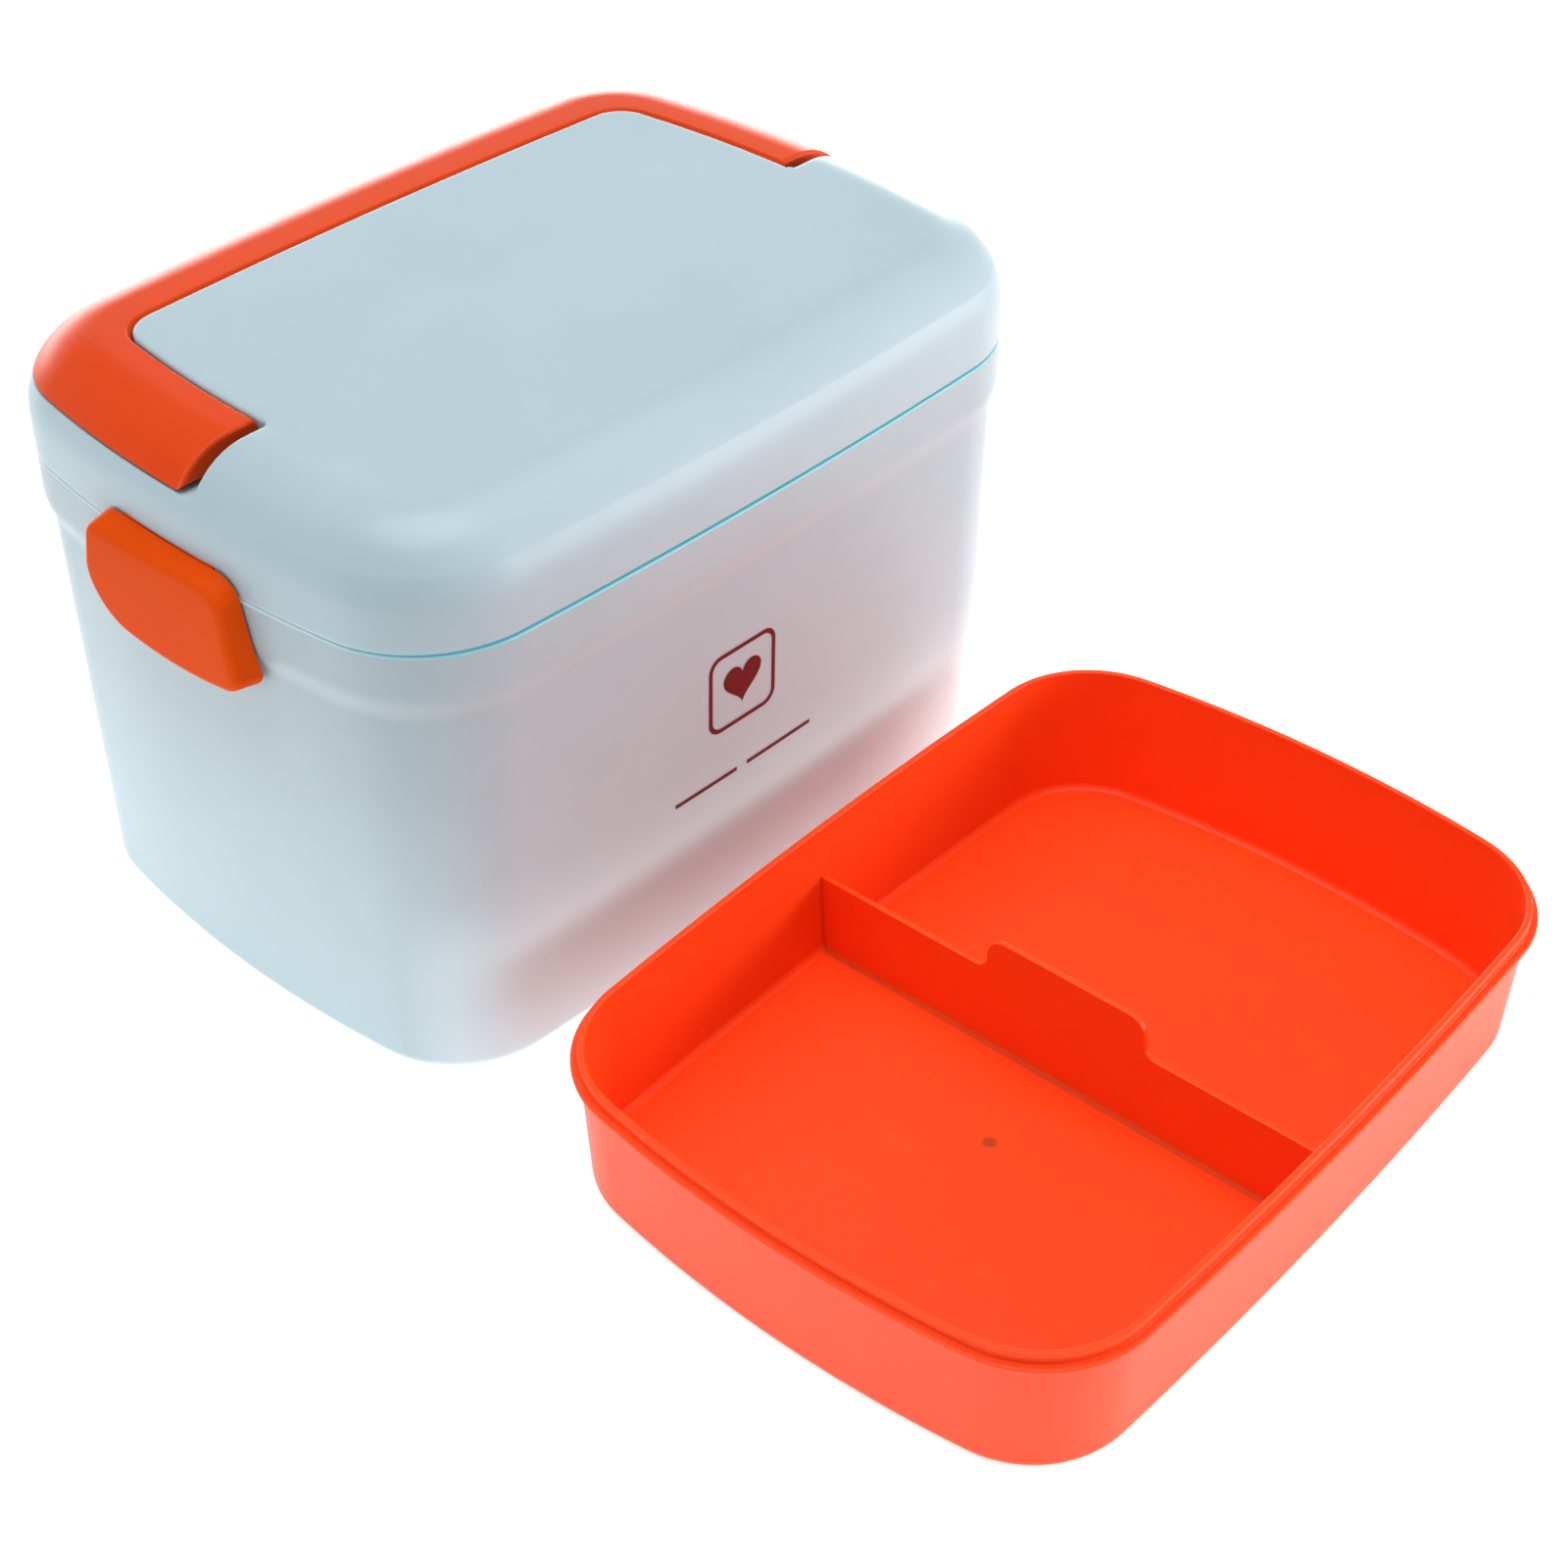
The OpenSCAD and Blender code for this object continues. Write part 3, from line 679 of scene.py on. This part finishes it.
def lid_end_rows(side):
    """Sections across one end, front to rear, with groove, notch and channel end."""

    def row(*section):
        return lid_row(lambda y: end_station(side, "abs", y), *section)

    g0, g1 = LATCH_Y - GROOVE_HALF, LATCH_Y + GROOVE_HALF
    inner_y = CHANNEL_Y - LID_WALL
    # y, groove, hinge pad
    front = ((FRONT_Y, 0, 0), (-28.6, 0, 0), (-28.4, 0, 1), (g0 - 0.06, 0, 1), (g0, 1, 1),
             (-17.2, 1, 1), (-16.0, 1, 1), (-13.5, 1, 1))
    rear = [(y, 1, 1) for y in (-8.4, -7.0, -5.0, -2.5, 0.5, 4.0, 9.0, 14.0, 17.6, g1)]
    rear += [(g1 + 0.06, 0, 1), (25.4, 0, 1), (25.6, 0, 0), (REAR_Y, 0, 0)]
    rows = [row(y, "plain", 0, g, pad, y - 0.5, 0.0) for y, g, pad in front]
    for k, degrees in enumerate((0.0, 22.5, 45.0, 67.5, 90.0)):
        a = math.radians(degrees)
        y = CHANNEL_Y - EDGE_R * (1 - math.sin(a)) - (0.9 if k == 0 else 0)
        rows.append(row(y, "edge" if k else "plain", a, 1, 1, inner_y - 0.5 + k * 0.1, 0.0))
    for k, share in enumerate((0.12, 0.3, 0.5, 0.7, 0.88, 1.0)):
        rows.append(row(CHANNEL_Y, "wall", share, 1, 1, inner_y + 0.02 * k, share))
    return rows + [row(y, "channel", 0, g, pad, y, 1.0) for y, g, pad in rear]


def lid_piece():
    def fixed(station, mode, under):
        return lid_row(lambda y: station, 0, mode, 0, 0, 0, 0, under)

    rows = [fixed(end_station(-1, "lo", f), "plain", 0.0) for f in END_STEPS]
    rows += lid_end_rows(-1)
    rows += [fixed(end_station(-1, "hi", f), "channel", 1.0) for f in END_STEPS[1:]]
    rows += [fixed(s, "channel", 1.0) for s in REAR_HALF]
    rows += [fixed(end_station(1, "hi", 1 - f), "channel", 1.0) for f in END_STEPS]
    rows += reversed(lid_end_rows(1))
    rows += [fixed(end_station(1, "lo", 1 - f), "plain", 0.0) for f in END_STEPS[1:]]
    rows += [fixed(s, "plain", 0.0) for s in FRONT_HALF]
    return mesh_object("lid_shell", make(rows, wrap_rows=True, caps=(True, True)))


# Handle
TOE_R = PIVOT_H - CHANNEL_H - TOE_GAP
TOE_BACK_Y = PIVOT_Y - math.sqrt(TOE_R ** 2 - (PIVOT_H - UNDER_H) ** 2)


def handle_section(hollow, d):
    """Closed section of the handle as (share of panel line, seam step, panel step, z) points;
    hollow 0 is solid underneath, d draws the outside in for the bevelled arm ends."""
    r = SHOULDER_R - d
    out = [(0, dome_inset(UNDER_H, d) + 0.25, 0, UNDER_H),
           (0, dome_inset(UNDER_H + 0.1, d) + 0.05, 0, UNDER_H + 0.1)]
    a0 = math.asin((UNDER_H + 0.35 - SHOULDER_H) / r)
    n = 12
    for k in range(n + 1):
        a = a0 + (math.pi / 2 - a0) * k / n
        out.append((0, SHOULDER_R - r * math.cos(a), 0, SHOULDER_H + r * math.sin(a)))
    # ridge, bevel, lower ridge and inner wall
    top, inner = TOP_H - d, -SIDE_GAP
    ridge = rounded([(-6.0, top, 0), (inner - BEVEL * 0.7, top, 0.5), (inner, top - BEVEL, 0.7),
                     (inner, UNDER_H, 0.25), (inner - 3, UNDER_H, 0)])[1:-1]
    out += [(1, 0, e, z) for e, z in ridge]

    # underside and hollow
    def up(z):
        return UNDER_H + (z - UNDER_H) * hollow

    w = HANDLE_WALL
    ceiling, hr = TOP_H - w, SHOULDER_R - w
    h_out = SHOULDER_R - math.sqrt(hr * hr - (UNDER_H - SHOULDER_H) ** 2)
    out += [(1, 0, inner - w + 0.15, UNDER_H), (1, 0, inner - w, up(UNDER_H + 0.15)),
            (1, 0, inner - w - 0.02, up(ceiling - 1.8)), (1, 0, inner - w - 1.6, up(ceiling))]
    n = 8
    for k in range(n + 1):
        a = math.pi / 2 + (math.asin((UNDER_H + 0.2 - SHOULDER_H) / hr) - math.pi / 2) * k / n
        s, z = SHOULDER_R - hr * math.cos(a), SHOULDER_H + hr * math.sin(a)
        if not hollow:
            s = SOLID_IN + (h_out + 0.3 - SOLID_IN) * k / n
        out.append((0, s, 0, up(z)))
    out.append((0, h_out - (0.15 if hollow else 0.1), 0, UNDER_H))
    return out


def handle_row(station, hollow, d=0.0):
    """Section at a station; in front of the pivot its toe is rounded about the hinge."""
    out = []
    for x, y, z in (spot(station, p) for p in handle_section(hollow, d)):
        if y < TOE_BACK_Y:
            foot = PIVOT_H - math.sqrt(TOE_R ** 2 - (y - PIVOT_Y) ** 2)
            z = foot + (z - UNDER_H) * (TOP_H - foot) / (TOP_H - UNDER_H)
        out.append((x, y, z))
    return out


def handle_arm(side):
    """Sections of one arm, from the bevel of its end to the corner's start."""
    bevel = ((0.0, 1.6), (0.25, 0.8), (0.42, 0.38), (0.56, 0.2), (0.75, 0.07), (1.0, 0.0),
             (1.6, 0.0), (2.25, 0.0))
    rows = [(ARM_Y + dy, 0, d) for dy, d in bevel]
    rows += [(y, 0, 0.0) for y in (0.0, 4.0, 7.9)]
    rows += [(y, 1, 0.0) for y in (8.0, 14.0, 21.0, REAR_Y)]
    return [handle_row(end_station(side, "abs", y), hollow, d) for y, hollow, d in rows]


def hollow_outline():
    """Side view of the hollow as (step from the outer form, height), a touch into the walls."""
    hr = SHOULDER_R - RIB_IN
    pts = []
    for k in range(9):
        a = math.asin((UNDER_H + 0.4 - SHOULDER_H) / hr) * (1 - k / 8) + math.pi / 2 * k / 8
        pts.append((SHOULDER_R - hr * math.cos(a), SHOULDER_H + hr * math.sin(a)))
    return pts


def rib_loop(axis, t):
    """Outline of a rib across the hollow at t along it: axis 0 in the arms, 1 in the rear bar."""
    half, bow = SEAM[axis], SEAM[axis + 3]
    loop = [((half - bow) + math.sqrt((bow - s) ** 2 - t * t), z) for s, z in hollow_outline()]
    half, bow = PANEL[axis], PANEL[axis + 3]
    inner = (half - bow) + math.sqrt((bow + SIDE_GAP + RIB_IN) ** 2 - t * t)
    return loop + [(inner, loop[-1][1]), (inner, UNDER_H + 0.4)]


def bar_rib_part(x):
    rows = [[(x + dx, y, z) for y, z in rib_loop(1, x)] for dx in (-RIB_HALF, RIB_HALF)]
    return make(rows, wrap_cols=True, caps=(True, True))


def arm_rib_part(side, y):
    rows = [[(side * x, y + dy, z) for x, z in rib_loop(0, y)] for dy in (-RIB_HALF, RIB_HALF)]
    return make(rows, wrap_cols=True, caps=(True, True))


def handle_piece():
    rows = handle_arm(-1)
    rows += [handle_row(end_station(-1, "hi", f), 1) for f in END_STEPS[1:]]
    rows += [handle_row(s, 1) for s in REAR_HALF]
    rows += [handle_row(end_station(1, "hi", 1 - f), 1) for f in END_STEPS]
    rows += reversed(handle_arm(1))
    field = 2 * PANEL[0] / BAR_FIELDS
    parts = [make(rows, wrap_cols=True, caps=(True, True))]
    parts += [bar_rib_part(-PANEL[0] + k * field) for k in range(1, BAR_FIELDS)]
    parts += [arm_rib_part(side, y) for side in (-1, 1) for y in ARM_RIBS]
    return mesh_object("carry_handle", joined(parts))


# Latches
def latch_loop(f, inset, n=10):
    """Upright outline at share f from the box to the face, drawn in by inset: wider below, a large
    lower corner to the rear and a small one to the front, the lower edge slightly bowed."""
    half = LATCH_BASE_HALF + (LATCH_FACE_HALF - LATCH_BASE_HALF) * f - inset
    low = half + LATCH_BASE_FLARE + (LATCH_FACE_FLARE - LATCH_BASE_FLARE) * f
    z0, z1 = LATCH_LOW + 0.5 * f + inset, LATCH_TOP - LATCH_SLOPE * f - inset
    r_rear, r_front = max(LATCH_REAR_R - inset, 1.5), max(LATCH_FRONT_R - inset, 1.2)
    top_rear = max(LATCH_REAR_TOP_R[0] + (LATCH_REAR_TOP_R[1] - LATCH_REAR_TOP_R[0]) * f - inset,
                   1.2)
    top_front = max(LATCH_FRONT_TOP_R - inset, 1.2)
    pts = []
    for cy, cz, r, a0 in ((low + LATCH_REAR_LOW - r_rear, z0 + r_rear, r_rear, -90),
                          (half + LATCH_REAR_TOP * f - top_rear, z1 - top_rear, top_rear, 0),
                          (-half + top_front, z1 - top_front, top_front, 90),
                          (-low + r_front, z0 + r_front, r_front, 180)):
        for k in range(n + 1):
            a = math.radians(a0 + 90 * k / n)
            pts.append((cy + r * math.cos(a), cz + r * math.sin(a)))
    # points along the straight sides let them bow and lean
    loop = []
    for i, p in enumerate(pts):
        loop.append(p)
        if i % (n + 1) == n:
            q = pts[(i + 1) % len(pts)]
            loop += [(p[0] + (q[0] - p[0]) * k / 8, p[1] + (q[1] - p[1]) * k / 8)
                     for k in range(1, 8)]
    bent = []
    for y, z in loop:
        high = (z - z0) / (z1 - z0)
        bent.append((y, z + (1 - high) * y * y / LATCH_BOW - high * f * LATCH_TILT * y))
    return bent


def end_wall_x(z):
    """How far the latch's back edge reaches in below the tub's collar."""
    t = min(max((REACH_TOP_H - z) / REACH_FADE, 0.0), 1.0)
    return COLLAR_REACH * t * t * (3 - 2 * t)


def latch_ring(x, f, inset):
    """Loop at share f from the back edge to the face, set in by inset; x None follows the box."""
    loop = latch_loop(f, inset)
    if x is None:
        back = [LATCH_BACK_X + end_wall_x(z) + y ** 2 / (2 * END_BOW) for y, z in loop]
        return [(b + f * (LATCH_FACE_X - b), LATCH_Y + y, z) for b, (y, z) in zip(back, loop)]
    lean = [0.9 * f * ((z - LATCH_LOW) / (LATCH_TOP - LATCH_LOW)) ** 2 for y, z in loop]
    return [(x + d, LATCH_Y + y, z) for d, (y, z) in zip(lean, loop)]


def latch_part():
    """The left latch: its outside, its hollow back, and the bead, web and catch rib inside."""
    face, r, w = LATCH_FACE_X, LATCH_EDGE_R, LATCH_WALL
    start = (LATCH_ROOT_X - (face + r)) / (LATCH_ROOT_X - face)
    front = [(None, 0.0, 0.08), (None, 0.02, 0.0), (None, 0.15, 0.0), (None, 0.3, 0.0),
             (face + r, start, 0.0)]
    for k in range(1, 8):
        a = math.radians(86) * k / 7
        front.append((face + r * (1 - math.sin(a)), start + (1 - start) * k / 7,
                      r * (1 - math.cos(a))))
    front += [(face, 1.0, inset) for inset in (4.4, 6.5, 9.0, 11.5)]
    back = [(None, 0.0, 0.08), (None, 0.0, w - 0.3), (None, 0.03, w), (None, 0.3, w),
            (None, 0.5, w), (face + 2.6, 0.8, w + 0.2), (face + w, 0.8, w + 1.2),
            (face + w, 1.0, 8.0)]
    shells = [make([latch_ring(*ring) for ring in rings], wrap_cols=True, caps=(False, True))
              for rings in (front, back)]
    bead = rod_part(HINGE_X, GROOVE_H, BEAD_R, LATCH_Y - BEAD_HALF, LATCH_Y + BEAD_HALF)
    web = box_part((WEB_X[0], LATCH_Y - BEAD_HALF + WEB_SHORT, GROOVE_H - WEB_DROP[0]),
                   (WEB_X[1], LATCH_Y + BEAD_HALF - WEB_SHORT, GROOVE_H - WEB_DROP[1]), 0.03)
    catch = box_part((CATCH_X[0], LATCH_Y - CATCH_HALF, CATCH_H[0]),
                     (CATCH_X[1], LATCH_Y + CATCH_HALF, CATCH_H[1]), 0.25)
    return joined(shells + [bead, web, catch])


# Print on the front
def on_wall(x, z, out=0.06):
    """Place just in front of the tub's front wall."""
    r = LONG_BOW - tub_in(z) + out
    return (x, -(HALF_Y - LONG_BOW + math.sqrt(r * r - x * x)), z)


def ribbon(loop_a, loop_b, n_across=3):
    """Flat band on the wall between two loops."""
    rows = []
    for k in range(n_across + 1):
        f = k / n_across
        rows.append([on_wall(a[0] + (b[0] - a[0]) * f, a[1] + (b[1] - a[1]) * f)
                     for a, b in zip(loop_a, loop_b)])
    return make(rows, wrap_cols=True)


def square_loop(half, r, n=12):
    pts = []
    for sx, sz, a0 in ((1, -1, -90), (1, 1, 0), (-1, 1, 90), (-1, -1, 180)):
        for k in range(n + 1):
            a = math.radians(a0 + 90 * k / n)
            pts.append((MARK_X + sx * (half - r) + r * math.cos(a),
                        MARK_H + sz * (half - r) + r * math.sin(a)))
    return pts


def emblem():
    """A heart in a rounded square over two thin bars."""
    cx, cz = MARK_X, MARK_H
    parts = [ribbon(square_loop(FRAME_HALF, 4.6), square_loop(FRAME_IN, 3.4))]
    heart = []
    for k in range(72):
        t = 2 * math.pi * k / 72
        x = 16 * math.sin(t) ** 3
        z = 13 * math.cos(t) - 5 * math.cos(2 * t) - 2 * math.cos(3 * t) - math.cos(4 * t)
        heart.append((cx + x * HEART, cz + (z + 2.2) * HEART))
    rows = [[on_wall(cx + (x - cx) * f, cz + (z - cz) * f) for x, z in heart]
            for f in (1.0, 0.75, 0.5, 0.25, 0.02)]
    parts.append(make(rows, wrap_cols=True, caps=(False, True)))
    n = 20
    for x0, x1 in THIN_BARS:
        parts.append(make([[on_wall(x0 + (x1 - x0) * k / n, z) for k in range(n + 1)]
                           for z in THIN_BAR_H]))
    return mesh_object("front_print", joined(parts))


# Build
def dress(ob, mat, body, stands_for=()):
    """Gives a piece its material, the body it rides on and the nodes it replaces."""
    ob.data.materials.clear()
    ob.data.materials.append(mat)
    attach(ob, body)
    if stands_for:
        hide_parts(*stands_for)
    return ob


def paint_seam_lit_shaded_faces(ob, mat, low, high, reach):
    """Second material on the thin faces at the seam, picked by which way they face: painted light on
    the tub's rim, painted shade on the lid's lower edge.
    """
    ob.data.materials.append(mat)
    for f in ob.data.polygons:
        if low < f.center.z * 1000 < high and abs(f.normal.z) > reach:
            f.material_index = 1


tub = dress(tub_piece(), TUB_MAT, "tub", ("tub",))
# painted light on the tub's upward-facing rim edge
paint_seam_lit_shaded_faces(tub, SEAM_LIT_MAT, RIM_H - 0.7, RIM_H + 0.1, 0.25)
dress(tray_piece(), TRAY_MAT, "tray", ("tray",))
lid = dress(lid_piece(), LID_MAT, "lid", ("lid",))
# painted shade on the lid's downward-facing lower edge
paint_seam_lit_shaded_faces(lid, SHADE_MAT, LID_LOW_H - 0.1, LID_LOW_H + 0.75, 0.12)
dress(handle_piece(), ORANGE_MAT, "handle", ("handle",))
dress(mesh_object("latch_shell_left", latch_part()), LATCH_MAT, "latch_left",
      ("latch_left",))
dress(mesh_object("latch_shell_right", mirrored(latch_part())), LATCH_MAT, "latch_right",
      ("latch_right",))
dress(emblem(), PRINT_MAT, "tub")
for name in ("handle_pin_left", "handle_pin_right"):
    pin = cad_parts[name]
    pin.data.materials.clear()
    pin.data.materials.append(ORANGE_MAT)

# Floor: a glowing light table, with painted shade darkening its colour and glow towards the camera
FLOOR_GLOW, SKY = 0.77, 0.29
FLOOR_FAR, FLOOR_NEAR_SHADE, FLOOR_SPAN = (0.93, 0.93, 0.93), (0.28, 0.28, 0.28), (0.288, 0.62)
TO_CAMERA = (-0.733, -0.68, 0.0)
FLOOR_Z, FLOOR_HALF = -0.4, 6000

floor_mat, ft, fb = new_material("pale_floor")
fb.inputs["Roughness"].default_value = 0.9
fb.inputs["Emission Strength"].default_value = FLOOR_GLOW
fb.inputs["Specular IOR Level"].default_value = 0.1
where = ft.nodes.new("ShaderNodeTexCoord")
along = ft.nodes.new("ShaderNodeVectorMath")
along.operation = "DOT_PRODUCT"
along.inputs[1].default_value = TO_CAMERA
ft.links.new(where.outputs["Object"], along.inputs[0])
# painted shade: the floor's colour and glow darker towards the camera
tone = colour_ramp(ft, map_range(ft, along.outputs["Value"], FLOOR_SPAN), FLOOR_FAR, FLOOR_NEAR_SHADE)
ft.links.new(tone, fb.inputs["Base Color"])
ft.links.new(tone, fb.inputs["Emission Color"])
floor = mesh_object("ground", make([[(x, y, FLOOR_Z) for x in (-FLOOR_HALF, 0, FLOOR_HALF)]
                                    for y in (-FLOOR_HALF, 0, FLOOR_HALF)]))
floor.modifiers.clear()
floor.data.materials.append(floor_mat)

# Light
world = bpy.data.worlds.new("studio")
bpy.context.scene.world = world
world.use_nodes = True
bg = world.node_tree.nodes["Background"]
bg.inputs["Color"].default_value = (1.0, 1.0, 1.0, 1)
bg.inputs["Strength"].default_value = SKY

WHITE, WARM = (1, 1, 1), (1.0, 0.87, 0.87)
LIGHTS = (  # name, place, target, size, power, colour
    ("key_top", (-0.1, -0.1, 1.9), (0, -0.1, 0.1), (1.5, 1.5), 28.5, WHITE),
    ("left_box", (-1.6, 0.1, 0.7), (0, -0.1, 0.1), (1.4, 1.0), 3, WHITE),
    ("right_box", (1.1, -1.5, 0.42), (0, -0.1, 0.1), (1.6, 0.7), 4.5, WHITE),
    ("back_card", (0.9, 1.6, 0.22), (0, 0, 0.15), (2.6, 0.32), 34, WHITE),
    ("front_low", (1.1, -1.25, 0.32), (0, -0.1, 0.05), (1.3, 0.36), 13, WARM),
)
for name, pos, target, size, power, colour in LIGHTS:
    d = bpy.data.lights.new(name, "AREA")
    d.shape = "RECTANGLE"
    d.size, d.size_y = size
    d.energy = power
    d.color = colour
    light = bpy.data.objects.new(name, d)
    light.location = pos
    light.rotation_euler = (Vector(target) - Vector(pos)).to_track_quat("-Z", "Y").to_euler()
    bpy.context.scene.collection.objects.link(light)

# Camera as solved from the photo: axes, place in metres, focal length and centre in pixels
RIGHT = Vector((0.68232, -0.731049, -0.002601))
DOWN = Vector((-0.438758, -0.406661, -0.801323))
FORWARD = Vector((0.584749, 0.5479, -0.598226))
CAMERA_POS = (-0.4539285, -0.5130304, 0.5406283)
IMAGE_PX, FOCAL_PX, CENTRE_PX, SENSOR = 1600, 2875.87, (777.77, 706.76), 36.0
cd = bpy.data.cameras.new("camera")
cam = bpy.data.objects.new("camera", cd)
bpy.context.scene.collection.objects.link(cam)
bpy.context.scene.camera = cam
turn = Matrix.Identity(4)
for i in range(3):
    turn[i][0], turn[i][1], turn[i][2] = RIGHT[i], -DOWN[i], -FORWARD[i]
cam.matrix_world = Matrix.Translation(CAMERA_POS) @ turn
cd.sensor_width = SENSOR
cd.lens = FOCAL_PX / IMAGE_PX * SENSOR
cd.shift_x = (IMAGE_PX / 2 - CENTRE_PX[0]) / IMAGE_PX
cd.shift_y = (CENTRE_PX[1] - IMAGE_PX / 2) / IMAGE_PX
cd.clip_start = 0.01

bpy.context.scene.view_settings.view_transform = "Standard"
bpy.context.scene.view_settings.look = "None"
